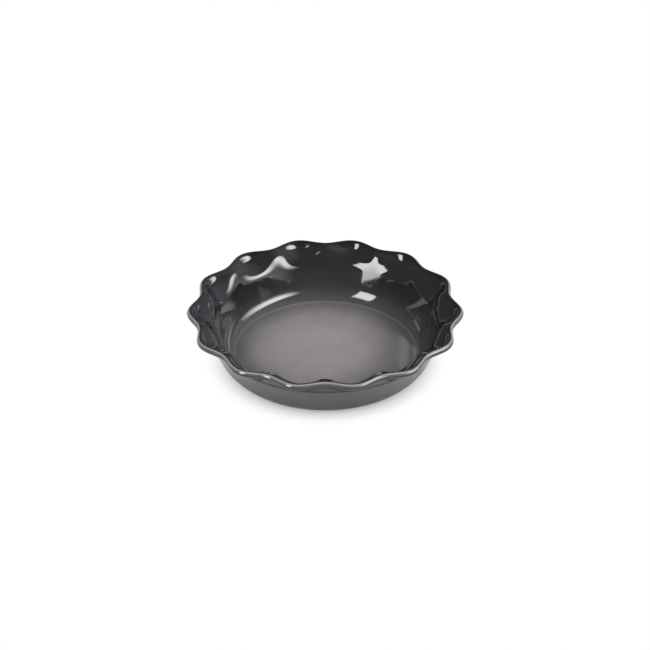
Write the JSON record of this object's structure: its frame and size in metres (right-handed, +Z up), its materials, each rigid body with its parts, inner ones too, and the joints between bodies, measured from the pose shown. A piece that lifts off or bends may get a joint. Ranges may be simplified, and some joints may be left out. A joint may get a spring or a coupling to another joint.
{
  "type": "fluted pie dish",
  "caption": "Round glazed stoneware pie dish with a flat floor, a leaning wall, a low foot ring and a ruffled, flaring rim with a thick rounded lip.",
  "frame": {"origin": "middle of the foot ring, on the surface that the dish stands on", "axes": "+Z up along the axis of the dish, +X through the middle of one lobe of the rim, +Y through the middle of a hollow"},
  "size_m": [0.27, 0.2642, 0.0548],
  "materials": {
    "glaze": "glossy charcoal glaze, lighter grey on the floor and on the outside"
  },
  "bodies": {
    "root": {"dish": "glaze"}
  },
  "joints": []
}
